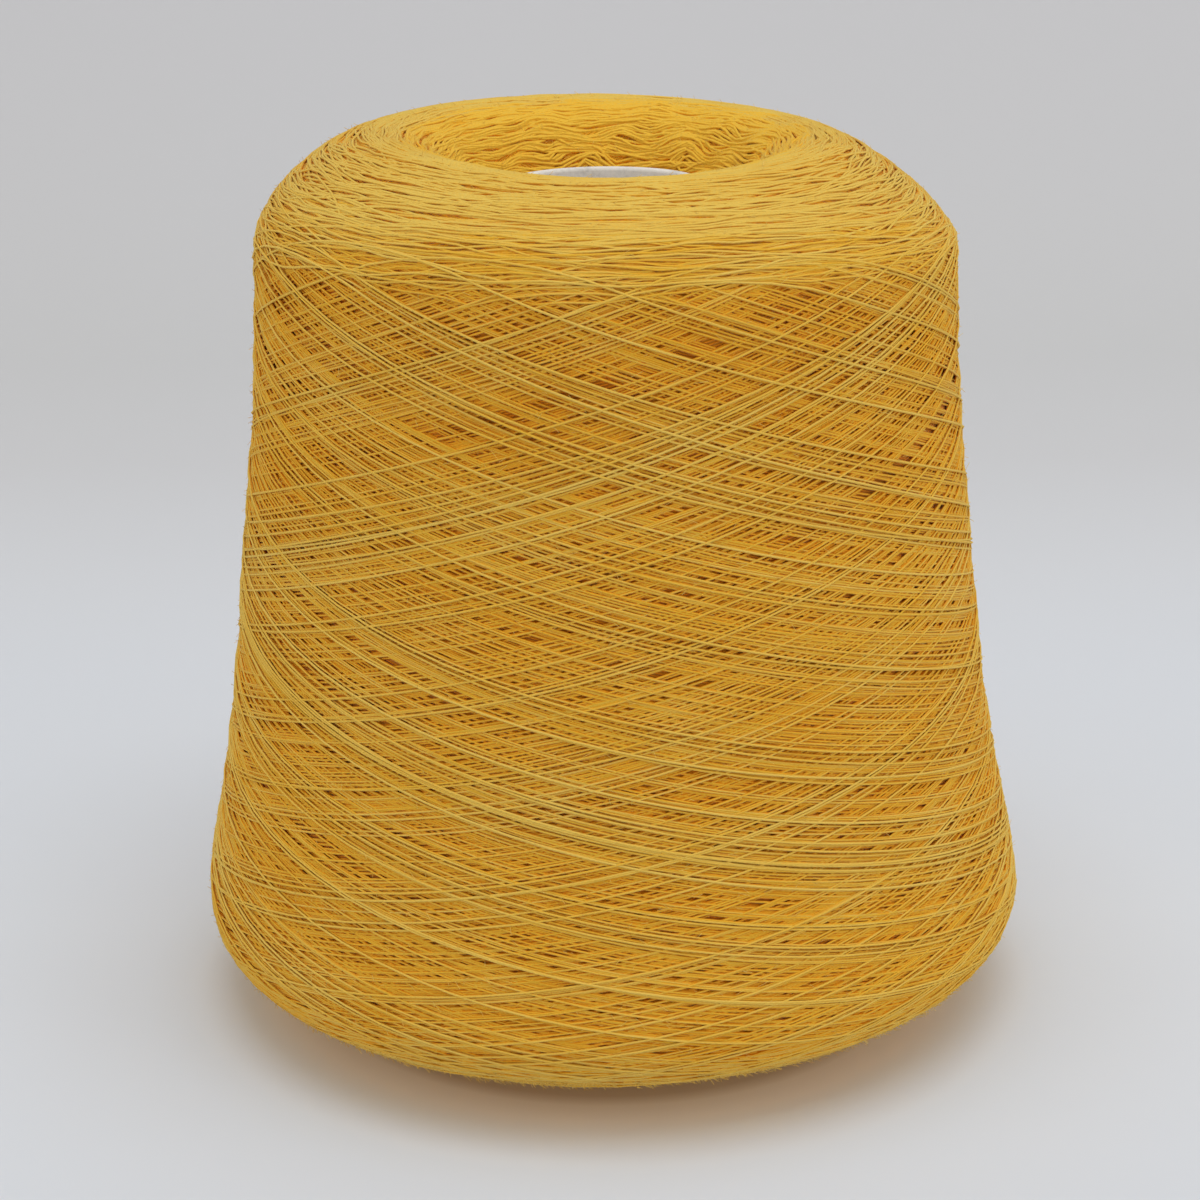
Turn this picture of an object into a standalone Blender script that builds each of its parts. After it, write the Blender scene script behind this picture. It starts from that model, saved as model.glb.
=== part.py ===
"""A cone of yarn: the cross-wound body of yarn and the tapered paper core it is wound on.

Sizes are in millimetres. The origin is at the centre of the base, on the surface the cone stands on, +Z up, and
the side seen in the picture faces -Y. Both bodies are rings of points joined into closed tubes.
"""

import math

import bpy
import numpy as np

MM = 0.001

# ---- the paper core -------------------------------------------------------------------------------------
CORE_LENGTH = 170.0
CORE_BASE_RADIUS = 33.4
CORE_TIP_RADIUS = 20.5
CORE_WALL = 2.2
CORE_EDGE = 0.6  # rounding of the core's base edges
CORE_TIP_EDGE = 0.9  # the tip's edge is burnished rounder, so that yarn slips off it

# ---- the wound body --------------------------------------------------------------------------------------
SEGMENTS = 60  # points round each ring
CLEARANCE = 0.36  # gap between the core and the winding's bore

# The outer side from the widest place of the base lip to the start of the shoulder.
SIDE = np.array(
    [  # height, radius
        (22.0, 86.0),
        (29.0, 85.1),
        (40.7, 82.7),
        (54.5, 80.0),
        (68.1, 77.9),
        (81.8, 76.2),
        (95.6, 74.7),
        (109.2, 73.2),
        (122.9, 71.7),
        (136.7, 70.6),
        (150.4, 69.9),
        (158.5, 69.8),
    ]
)

# The shoulder, the domed nose end and the crater, going up and in to the bore.
NOSE = np.array(
    [  # radius, height
        (69.4, 161.0),
        (68.3, 163.9),
        (66.3, 167.7),
        (62.0, 172.2),
        (56.2, 176.5),
        (50.5, 179.3),
        (45.5, 180.2),
        (40.0, 179.4),
        (35.0, 176.9),
        (31.0, 173.0),
        (28.0, 168.2),
        (25.6, 163.2),
    ]
)
BORE_TOP = 160.0  # height where the winding meets the core in the crater

# The rounded lip and the shallow hollow of the base face, going down and in from the side to the bore.
BASE = np.array(
    [  # radius, height
        (85.3, 18.8),
        (83.9, 15.5),
        (81.4, 12.5),
        (77.6, 10.0),
        (72.6, 8.3),
        (66.0, 7.5),
        (57.0, 7.9),
        (46.0, 9.2),
        (38.0, 10.8),
    ]
)
BORE_BASE = 12.0  # height where the winding meets the core under the base

# ---- relief of the winding ---------------------------------------------------------------------------------
# Winding angle of the crossing strands, measured from a level turn.
WIND = np.array(
    [  # height, angle in degrees
        (22.0, 9.5),
        (158.5, 20.5),
    ]
)
RIB_EVERY = 5  # a main strand bundle passes every so many points, so 60 / 5 = 12 run each way
RIB_SHIFT = 2  # how many points the bundles of one direction are turned on from the other's
RIB_HEIGHT = 0.55
RIB_FADE = 16.0  # the ribs fade out over this height near the lip and the shoulder
SIDE_SAG = 0.35  # the spaces between ribs sink by this much
HOOP_WAVE = 0.35  # soft waves of the turns that lie over the shoulder
HOOP_COUNT = 9
CRIMP = 0.8  # strands crimp into waves as they go down into the crater
CRIMP_COUNT = 15

# Slow unevenness of a soft package. Directions are turns round +Z from +X, in degrees.
CREST_TILT = 1.3  # the far side of the crest stands this much above the middle, the near side below it
CREST_TURN = 70.0
DROP = 3.4  # the dome has sagged this much on its right side
DROP_TURN = 12.0
LIP_TILT = 1.1  # the base lip is lower by this at its left, and higher at its right front
LIP_TURN = -45.0
LEAN = 0.25


def smooth_step(low, high, value):
    """0 below low, 1 above high, and a soft rise between."""
    share = np.clip((value - low) / (high - low), 0.0, 1.0)
    return share * share * (3.0 - 2.0 * share)


def core_radius(height):
    """Outer radius of the core at a height."""
    return CORE_BASE_RADIUS + (CORE_TIP_RADIUS - CORE_BASE_RADIUS) * height / CORE_LENGTH


def side_heights():
    """Ring heights up the side, spaced so that a strand moves one point round the ring from each to the next."""
    fine = np.linspace(SIDE[0, 0], SIDE[-1, 0], 2001)
    radius = np.interp(fine, SIDE[:, 0], SIDE[:, 1])
    angle = np.radians(np.interp(fine, WIND[:, 0], WIND[:, 1]))
    turn_per_mm = 1.0 / (np.tan(angle) * radius)
    turned = np.concatenate([[0.0], np.cumsum((turn_per_mm[1:] + turn_per_mm[:-1]) / 2 * np.diff(fine))])
    steps = int(round(turned[-1] / (2 * math.pi / SEGMENTS)))
    return np.interp(np.linspace(0.0, turned[-1], steps + 1), turned, fine)


def rib_relief(row, column, height):
    """Height of the relief at a point of the side: raised bundles that cross both ways, fading to the ends."""
    up_right = (column - row) % RIB_EVERY == 0
    up_left = (column + row + RIB_SHIFT) % RIB_EVERY == 0
    ends = smooth_step(SIDE[0, 0] - 2.0, SIDE[0, 0] + RIB_FADE, height)
    ends = ends * (1.0 - smooth_step(SIDE[-1, 0] - RIB_FADE, SIDE[-1, 0] + 2.0, height))
    if up_right and up_left:
        return RIB_HEIGHT * 1.3 * ends
    if up_right or up_left:
        return RIB_HEIGHT * ends
    return -SIDE_SAG * ends


def ring(radius, height):
    """One ring of points at a radius and height, which may be a number or one value for each point."""
    turn = 2 * math.pi * np.arange(SEGMENTS) / SEGMENTS
    radius = np.broadcast_to(radius, SEGMENTS)
    height = np.broadcast_to(height, SEGMENTS)
    return np.stack([radius * np.cos(turn), radius * np.sin(turn), height], axis=1)


def toward(turn, degrees):
    """1 in this direction round the cone, -1 on the opposite side."""
    return np.cos(turn - math.radians(degrees))


def uneven(rings):
    """Leans, tilts and sags the rings a little, leaving the bore and the middle of the base as they are."""
    out = []
    for points in rings:
        turn = np.arctan2(points[:, 1], points[:, 0])
        radius = np.hypot(points[:, 0], points[:, 1])
        height = points[:, 2]
        free = smooth_step(core_radius(height) + 3.0, core_radius(height) + 16.0, radius)
        above = smooth_step(20.0, 150.0, height)
        crest = smooth_step(163.0, 178.0, height)
        dome = smooth_step(157.0, 168.0, height) * smooth_step(34.0, 60.0, radius)
        lip = (1.0 - smooth_step(12.0, 34.0, height)) * smooth_step(45.0, 66.0, radius)
        sag = np.clip(toward(turn, DROP_TURN), 0.0, 1.0) ** 1.5
        radius = radius + free * above * LEAN * toward(turn, 0.0)
        height = height + free * crest * CREST_TILT * toward(turn, CREST_TURN)
        height = height - dome * DROP * sag + lip * LIP_TILT * toward(turn, LIP_TURN)
        out.append(np.stack([radius * np.cos(turn), radius * np.sin(turn), height], axis=1))
    return out


def yarn_rings():
    """Rings of the wound body: up the side, over the nose, down the crater and the bore, then out along the base."""
    columns = np.arange(SEGMENTS)
    turn = 2 * math.pi * columns / SEGMENTS
    rings = []
    for row, height in enumerate(side_heights()):
        radius = np.interp(height, SIDE[:, 0], SIDE[:, 1])
        relief = np.array([rib_relief(row, column, height) for column in columns])
        rings.append(ring(radius + relief, height))
    for row, (radius, height) in enumerate(NOSE):
        inward = smooth_step(46.0, 30.0, radius) * smooth_step(23.0, 27.0, radius)
        outward = smooth_step(40.0, 58.0, radius)
        hoop = HOOP_WAVE * outward * np.sin(HOOP_COUNT * turn + 1.9 * row)
        crimp = CRIMP * inward * np.sin(CRIMP_COUNT * turn + 1.3 * row)
        rings.append(ring(radius + 0.6 * crimp, height + hoop + crimp))
    for height in (BORE_TOP, BORE_BASE):
        rings.append(ring(core_radius(height) + CLEARANCE, height))
    for radius, height in BASE[::-1]:
        rings.append(ring(radius, height))
    return uneven(rings)


def core_rings():
    """Rings of the core: up the outside, over the tip, down the inside and back along the base."""
    tip, edge = CORE_TIP_EDGE, CORE_EDGE
    outline = [
        (core_radius(0.0) - edge, 0.0),
        (core_radius(0.0) - 0.3 * edge, 0.3 * edge),
        (core_radius(edge), edge),
        (core_radius(60.0), 60.0),
        (core_radius(120.0), 120.0),
        (core_radius(CORE_LENGTH) + 0.05, CORE_LENGTH - tip),
        (core_radius(CORE_LENGTH) - 0.3 * tip, CORE_LENGTH - 0.3 * tip),
        (core_radius(CORE_LENGTH) - tip, CORE_LENGTH),
        (core_radius(CORE_LENGTH) - CORE_WALL + 0.4, CORE_LENGTH - 0.1),
        (core_radius(CORE_LENGTH) - CORE_WALL, CORE_LENGTH - 0.6),
        (core_radius(90.0) - CORE_WALL, 90.0),
        (core_radius(0.0) - CORE_WALL, 0.4),
        (core_radius(0.0) - CORE_WALL + 0.4, 0.0),
    ]
    return [ring(radius, height) for radius, height in outline]


def tube_mesh(name, rings, split):
    """A closed mesh from rings that go round the wall of a tube; split says which way each four-sided face is cut."""
    count = len(rings)
    points = np.concatenate(rings) * MM
    faces = []
    for row in range(count):
        after = (row + 1) % count
        for column in range(SEGMENTS):
            beside = (column + 1) % SEGMENTS
            corners = (
                row * SEGMENTS + column,
                row * SEGMENTS + beside,
                after * SEGMENTS + beside,
                after * SEGMENTS + column,
            )
            if split(row, column):
                faces += [(corners[0], corners[1], corners[2]), (corners[0], corners[2], corners[3])]
            else:
                faces += [(corners[0], corners[1], corners[3]), (corners[1], corners[2], corners[3])]
    mesh = bpy.data.meshes.new(name)
    mesh.from_pydata([tuple(point) for point in points], [], faces)
    mesh.validate()
    mesh.update()
    return mesh


def along_rib(row, column):
    """True where a face is cut along a bundle that climbs to the right, so that each raised bundle keeps its edge."""
    if (column - row) % RIB_EVERY == 0:
        return True
    if (column + 1 + row + RIB_SHIFT) % RIB_EVERY == 0:
        return False
    return (row + column) % 2 == 0


def plain_split(row, column):
    return (row + column) % 2 == 0


def material(name, colour, roughness, sheen):
    made = bpy.data.materials.new(name)
    made.use_nodes = True
    shader = made.node_tree.nodes["Principled BSDF"]
    shader.inputs["Base Color"].default_value = (*colour, 1.0)
    shader.inputs["Roughness"].default_value = roughness
    shader.inputs["Sheen Weight"].default_value = sheen
    made.diffuse_color = (*colour, 1.0)
    return made


def add_part(name, mesh, surface, collection):
    mesh.materials.append(surface)
    part = bpy.data.objects.new(name, mesh)
    collection.objects.link(part)
    return part


for left_over in list(bpy.data.objects):
    bpy.data.objects.remove(left_over, do_unlink=True)

cone = bpy.data.collections.new("yarn_cone")
bpy.context.scene.collection.children.link(cone)

yarn_look = material("yarn", (0.66, 0.39, 0.055), 0.85, 0.3)
paper_look = material("paper", (0.52, 0.51, 0.50), 0.9, 0.0)

add_part("yarn", tube_mesh("yarn", yarn_rings(), along_rib), yarn_look, cone)
add_part("core", tube_mesh("core", core_rings(), plain_split), paper_look, cone)
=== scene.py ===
"""A cone of mustard yarn: the strands, crimps and fuzz of the winding, its paper core, and the studio round it."""

import math  # noqa: E402

import bmesh  # noqa: E402
import bpy  # noqa: E402
import numpy as np  # noqa: E402
from mathutils import Matrix, Vector  # noqa: E402


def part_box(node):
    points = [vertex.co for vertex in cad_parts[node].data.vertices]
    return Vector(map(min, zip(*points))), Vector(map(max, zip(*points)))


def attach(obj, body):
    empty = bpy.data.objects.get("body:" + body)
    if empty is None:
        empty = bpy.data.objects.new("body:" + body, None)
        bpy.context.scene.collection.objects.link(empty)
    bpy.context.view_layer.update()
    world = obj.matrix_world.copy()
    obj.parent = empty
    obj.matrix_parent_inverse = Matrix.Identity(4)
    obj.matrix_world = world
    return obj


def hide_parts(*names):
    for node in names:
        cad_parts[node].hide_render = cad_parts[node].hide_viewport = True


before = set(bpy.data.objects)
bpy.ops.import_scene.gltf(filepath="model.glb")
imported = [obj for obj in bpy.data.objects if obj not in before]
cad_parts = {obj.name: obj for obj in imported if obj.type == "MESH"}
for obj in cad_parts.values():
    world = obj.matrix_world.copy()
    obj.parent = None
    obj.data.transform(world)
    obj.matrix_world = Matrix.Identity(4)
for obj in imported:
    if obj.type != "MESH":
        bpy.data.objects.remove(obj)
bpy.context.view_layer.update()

bl_info = {
    "name": "Cone of yarn",
    "version": (1, 0, 0),
    "blender": (4, 5, 0),
    "location": "View3D > Sidebar > Yarn cone",
    "description": "Winds the strands of a cone of yarn over its packed solids",
    "category": "Object",
}

BODY = "root"
MM = 0.001
TURN = 2 * math.pi

# ---- sizes shared with the solids, in millimetres --------------------------------------------------------
YARN_LOW, YARN_HIGH = (np.array(corner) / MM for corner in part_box("yarn"))
CORE_LOW, CORE_HIGH = (np.array(corner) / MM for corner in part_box("core"))
CORE_LENGTH = CORE_HIGH[2] - CORE_LOW[2]
CORE_BASE_RADIUS = 33.4
CORE_TIP_RADIUS = 20.5
CORE_WALL = 2.2

# The wound form from the bore's foot, out over the base lip, up the side, over the nose and down the crater.
BASE_FORM = [  # radius, height
    (34.6, 11.6),
    (38.0, 10.8),
    (46.0, 9.2),
    (57.0, 7.9),
    (66.0, 7.5),
    (72.6, 8.3),
    (77.6, 10.0),
    (81.4, 12.5),
    (83.9, 15.5),
    (85.3, 18.8),
]
SIDE_FORM = [  # radius, height
    (86.0, 22.0),
    (85.1, 29.0),
    (82.7, 40.7),
    (80.0, 54.5),
    (77.9, 68.1),
    (76.2, 81.8),
    (74.7, 95.6),
    (73.2, 109.2),
    (71.7, 122.9),
    (70.6, 136.7),
    (69.9, 150.4),
    (69.8, 158.5),
]
NOSE_FORM = [  # radius, height
    (69.4, 161.0),
    (68.3, 163.9),
    (66.3, 167.7),
    (62.0, 172.2),
    (56.2, 176.5),
    (50.5, 179.3),
    (45.5, 180.2),
    (40.0, 179.4),
    (35.0, 176.9),
    (31.0, 173.0),
    (28.0, 168.2),
    (25.6, 163.2),
    (23.0, 160.6),
]

# Slow unevenness of the package, as in the solids. Directions are turns round +Z from +X, in degrees.
CREST_TILT, CREST_TURN = 1.25, 100.0
DROP, DROP_TURN = 3.4, 12.0
LIP_TILT, LIP_TURN = 1.1, -45.0
LEAN = 0.25
BASE_LEAN = 0.7  # the base end stands this much further out on the right than on the left
RIM_DIP, RIM_TURN = 1.95, -86.0  # the crest dips this much at the front, where the core shows over it
RIM_NARROW = 3.0  # how fast the dip dies away to both sides

# ---- the camera, as fitted to the picture, in millimetres and degrees ------------------------------------
CAMERA_PLACE = (-1.5, -520.5, 250.2)
CAMERA_PITCH = 17.87
CAMERA_ROLL = -0.53
LENS = 78.4


def smooth_step(low, high, value):
    """0 below low, 1 above high, and a soft rise between."""
    share = np.clip((value - low) / (high - low), 0.0, 1.0)
    return share * share * (3.0 - 2.0 * share)


def core_radius(height):
    """Outer radius of the core at a height."""
    return CORE_BASE_RADIUS + (CORE_TIP_RADIUS - CORE_BASE_RADIUS) * height / CORE_LENGTH


def toward(turn, degrees):
    """1 in this direction round the cone, -1 on the opposite side."""
    return np.cos(turn - math.radians(degrees))


def uneven(turn, radius, height):
    """Leans, tilts and sags a place on the cone as the solids do."""
    free = smooth_step(core_radius(height) + 3.0, core_radius(height) + 16.0, radius)
    above = smooth_step(20.0, 150.0, height)
    crest = smooth_step(163.0, 178.0, height)
    dome = smooth_step(157.0, 168.0, height) * smooth_step(34.0, 60.0, radius)
    lip = (1.0 - smooth_step(12.0, 34.0, height)) * smooth_step(45.0, 66.0, radius)
    sag = np.clip(toward(turn, DROP_TURN), 0.0, 1.0) ** 1.5
    new_radius = radius + free * above * LEAN * toward(turn, 0.0)
    new_height = height + free * crest * CREST_TILT * toward(turn, CREST_TURN)
    new_height = new_height - dome * DROP * sag + lip * LIP_TILT * toward(turn, LIP_TURN)
    below = (1.0 - smooth_step(20.0, 90.0, height)) * smooth_step(45.0, 66.0, radius)
    new_radius = new_radius + below * BASE_LEAN * toward(turn, 0.0)
    front = np.clip(toward(turn, RIM_TURN), 0.0, 1.0) ** RIM_NARROW
    new_height = new_height - free * smooth_step(170.0, 180.0, height) * RIM_DIP * front
    return new_radius, new_height


class Form:
    """The outline of the wound body as a smooth run, read by the distance along it from the bore's foot."""

    STEP = 0.5
    SOFTEN = 9  # points on each side that the corners of the outline are averaged over

    def __init__(self):
        corners = np.array(BASE_FORM + SIDE_FORM + NOSE_FORM)
        run = np.concatenate([[0.0], np.cumsum(np.hypot(*np.diff(corners, axis=0).T))])
        fine = np.arange(0.0, run[-1], self.STEP)
        dense = np.stack([np.interp(fine, run, corners[:, axis]) for axis in (0, 1)], axis=1)
        kernel = np.hanning(2 * self.SOFTEN + 3)[1:-1]
        kernel = kernel / kernel.sum()
        padded = np.pad(dense, ((self.SOFTEN, self.SOFTEN), (0, 0)), mode="reflect", reflect_type="odd")
        soft = np.stack([np.convolve(padded[:, axis], kernel, "valid") for axis in (0, 1)], axis=1)
        steps = np.hypot(*np.diff(soft, axis=0).T)
        self.run = np.concatenate([[0.0], np.cumsum(steps)])
        self.radius, self.height = soft[:, 0], soft[:, 1]
        along = np.gradient(soft, axis=0)
        along /= np.hypot(along[:, 0], along[:, 1])[:, None]
        self.out_radius, self.out_height = along[:, 1], -along[:, 0]
        self.length = self.run[-1]

    def at_height(self, height):
        """Distance along the outline at which the outer side passes a height."""
        on_side = (self.run > self.run[np.argmax(self.radius)]) & (self.radius > 50.0)
        return float(np.interp(height, self.height[on_side], self.run[on_side]))

    def at_radius(self, radius, upper):
        """Distance along the outline at a radius on the nose's outer half, its inner half, or the base face."""
        crest = int(np.argmax(self.height))
        widest = int(np.argmax(self.radius))
        if upper == "inner":
            part = slice(crest, None)
        elif upper == "outer":
            part = slice(int(np.argmin(np.abs(self.run - self.at_height(160.0)))), crest)
        else:
            part = slice(0, widest)
        radii, runs = self.radius[part], self.run[part]
        order = np.argsort(radii)
        return float(np.interp(radius, radii[order], runs[order]))

    def place(self, run, turn, lift):
        """Points, in metres, at a distance along the outline and a turn round the cone, lifted off the surface."""
        radius = np.interp(run, self.run, self.radius)
        height = np.interp(run, self.run, self.height)
        radius = radius + lift * np.interp(run, self.run, self.out_radius)
        height = height + lift * np.interp(run, self.run, self.out_height)
        radius, height = uneven(turn, radius, height)
        return np.stack([radius * np.cos(turn), radius * np.sin(turn), height], axis=-1) * MM

    def path(self, run, turn, lift):
        """A strand's path: for each point its place, the direction out of the form, and its lift."""
        run, turn, lift = np.broadcast_arrays(run, turn, lift)
        place = self.place(run, turn, lift)
        out = self.place(run, turn, lift + 1.0) - place
        out = out / np.linalg.norm(out, axis=1)[:, None]
        return np.column_stack([place, out, lift])


FORM = Form()
RUN_LIP_FOOT = FORM.at_radius(74.0, "base")
RUN_WIDEST = FORM.at_height(22.0)
RUN_SHOULDER = FORM.at_height(158.0)
RUN_DOME = FORM.at_radius(66.0, "outer")
RUN_CREST = float(FORM.run[int(np.argmax(FORM.height))])
RUN_CRATER = FORM.at_radius(36.0, "inner")
RUN_CORE = FORM.at_radius(25.0, "inner")


# ---- meshes ----------------------------------------------------------------------------------------------
def link(name, mesh, surface):
    """A finished piece on the cone's body, with its surface."""
    piece = bpy.data.objects.new(name, mesh)
    bpy.context.scene.collection.objects.link(piece)
    mesh.materials.clear()
    mesh.materials.append(surface)
    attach(piece, BODY)
    return piece


def smooth_faces(mesh):
    mesh.polygons.foreach_set("use_smooth", np.ones(len(mesh.polygons), bool))


SIDES = 4  # sides of a strand


def strands_mesh(name, paths, radius, shades):
    """One mesh of round strands from their paths, with one tone for each strand.

    The UV map runs in millimetres along each strand and from 0 to 1 round it.
    """
    curve = bpy.data.curves.new(name, "CURVE")
    curve.dimensions = "3D"
    curve.bevel_depth = radius * MM
    curve.bevel_resolution = (SIDES - 4) // 2
    curve.use_fill_caps = False
    curve.twist_mode = "Z_UP"
    for path in paths:
        spline = curve.splines.new("POLY")
        spline.points.add(len(path) - 1)
        flat = np.ones((len(path), 4), np.float32)
        flat[:, :3] = path[:, :3]
        spline.points.foreach_set("co", flat.ravel())
    holder = bpy.data.objects.new(name + "_curve", curve)
    bpy.context.scene.collection.objects.link(holder)
    bpy.context.view_layer.update()
    graph = bpy.context.evaluated_depsgraph_get()
    mesh = bpy.data.meshes.new_from_object(holder.evaluated_get(graph), depsgraph=graph)
    bpy.data.objects.remove(holder)
    bpy.data.curves.remove(curve)
    mesh.name = name
    add_strand_maps(mesh, paths, radius, shades)
    smooth_faces(mesh)
    return mesh


def add_value(mesh, name, values):
    attribute = mesh.attributes.new(name, "FLOAT", "POINT")
    attribute.data.foreach_set("value", values.astype(np.float32))


def add_strand_maps(mesh, paths, radius, shades):
    """Gives each point its strand's tone, its height over the form in mm and whether it's on the strand's crown.

    Each corner of a face also gets its place on the strand.
    """
    along = np.concatenate([strand_lengths(path[:, :3]) for path in paths])
    tone = np.concatenate([np.full(len(path), shade) for path, shade in zip(paths, shades)])
    count = len(mesh.vertices)
    if count != len(along) * SIDES:
        raise RuntimeError(f"{mesh.name} has {count} points, not {len(along) * SIDES}")
    add_value(mesh, "tone", np.repeat(tone, SIDES))
    middle = np.repeat(np.concatenate(paths), SIDES, axis=0)
    corners = np.empty(count * 3, np.float32)
    mesh.vertices.foreach_get("co", corners)
    offset = ((corners.reshape(-1, 3) - middle[:, :3]) * middle[:, 3:6]).sum(axis=1) / MM
    add_value(mesh, "rise", middle[:, 6] + offset)
    add_value(mesh, "crown", offset / radius)
    corner = np.empty(len(mesh.loops), np.int32)
    mesh.loops.foreach_get("vertex_index", corner)
    starts = np.empty(len(mesh.polygons), np.int32)
    mesh.polygons.foreach_get("loop_start", starts)
    if len(corner) != 4 * len(starts):
        raise RuntimeError(f"{mesh.name} has faces that aren't four-sided")
    around = (corner % SIDES).reshape(-1, 4)
    wrapped = (around.max(axis=1) - around.min(axis=1)) > 1
    turned = around + np.where(wrapped[:, None] & (around == 0), SIDES, 0)
    layer = mesh.uv_layers.active or mesh.uv_layers.new(name="UVMap")
    layer.name = "UVMap"
    places = np.stack([along[corner // SIDES], turned.ravel() / SIDES], axis=1)
    layer.data.foreach_set("uv", places.astype(np.float32).ravel())


def strand_lengths(points):
    """Distance in millimetres of each point along its strand."""
    steps = np.linalg.norm(np.diff(points, axis=0), axis=1) / MM
    return np.concatenate([[0.0], np.cumsum(steps)])


def lathe(name, outline, segments, closed):
    """A mesh turned about +Z from an outline of (radius, height) pairs in millimetres."""
    shape = bmesh.new()
    points = [shape.verts.new((radius * MM, 0.0, height * MM)) for radius, height in outline]
    edges = [shape.edges.new(pair) for pair in zip(points, points[1:])]
    if closed:
        edges.append(shape.edges.new((points[-1], points[0])))
    bmesh.ops.spin(
        shape,
        geom=points + edges,
        cent=(0, 0, 0),
        axis=(0, 0, 1),
        angle=TURN,
        steps=segments,
        use_merge=True,
        use_duplicate=False,
    )
    bmesh.ops.remove_doubles(shape, verts=shape.verts, dist=1e-6)
    bmesh.ops.recalc_face_normals(shape, faces=shape.faces)
    mesh = bpy.data.meshes.new(name)
    shape.to_mesh(mesh)
    shape.free()
    smooth_faces(mesh)
    return mesh


# ---- materials -------------------------------------------------------------------------------------------
class Nodes:
    """Short calls that build a material's nodes."""

    def __init__(self, name):
        self.material = bpy.data.materials.new(name)
        self.material.use_nodes = True
        self.tree = self.material.node_tree
        self.shader = self.tree.nodes["Principled BSDF"]

    def add(self, kind, **values):
        node = self.tree.nodes.new(kind)
        for key, value in values.items():
            setattr(node, key, value)
        return node

    def link(self, start, end):
        self.tree.links.new(start, end)

    def attribute(self, name):
        return self.add("ShaderNodeAttribute", attribute_name=name)

    def noise(self, vector, scale, detail=2.0, roughness=0.5):
        node = self.add("ShaderNodeTexNoise")
        node.inputs["Scale"].default_value = scale
        node.inputs["Detail"].default_value = detail
        node.inputs["Roughness"].default_value = roughness
        self.link(vector, node.inputs["Vector"])
        return node.outputs["Fac"]

    def math(self, operation, first, second):
        node = self.add("ShaderNodeMath", operation=operation)
        for socket, value in zip(node.inputs, (first, second)):
            if isinstance(value, (int, float)):
                socket.default_value = value
            else:
                self.link(value, socket)
        return node.outputs[0]

    def ramp(self, factor, stops):
        node = self.add("ShaderNodeValToRGB")
        self.link(factor, node.inputs["Fac"])
        while len(node.color_ramp.elements) < len(stops):
            node.color_ramp.elements.new(0.5)
        for element, (position, colour) in zip(node.color_ramp.elements, stops):
            element.position = position
            element.color = (*colour, 1.0)
        return node.outputs["Color"]

    def mix(self, factor, first, second, blend="MIX"):
        node = self.add("ShaderNodeMix", data_type="RGBA", blend_type=blend)
        for socket, value in zip((node.inputs[0], node.inputs[6], node.inputs[7]), (factor, first, second)):
            if isinstance(value, (int, float)):
                socket.default_value = value
            elif isinstance(value, tuple):
                socket.default_value = (*value, 1.0)
            else:
                self.link(value, socket)
        return node.outputs[2]

    def bump(self, height, distance, strength=1.0):
        node = self.add("ShaderNodeBump")
        node.inputs["Strength"].default_value = strength
        node.inputs["Distance"].default_value = distance
        self.link(height, node.inputs["Height"])
        self.link(node.outputs["Normal"], self.shader.inputs["Normal"])

    def set(self, **values):
        for key, value in values.items():
            self.shader.inputs[key.replace("_", " ")].default_value = value


def shaded(colour, factor):
    """A colour made lighter or darker."""
    return tuple(min(1.0, channel * factor) for channel in colour)


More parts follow.
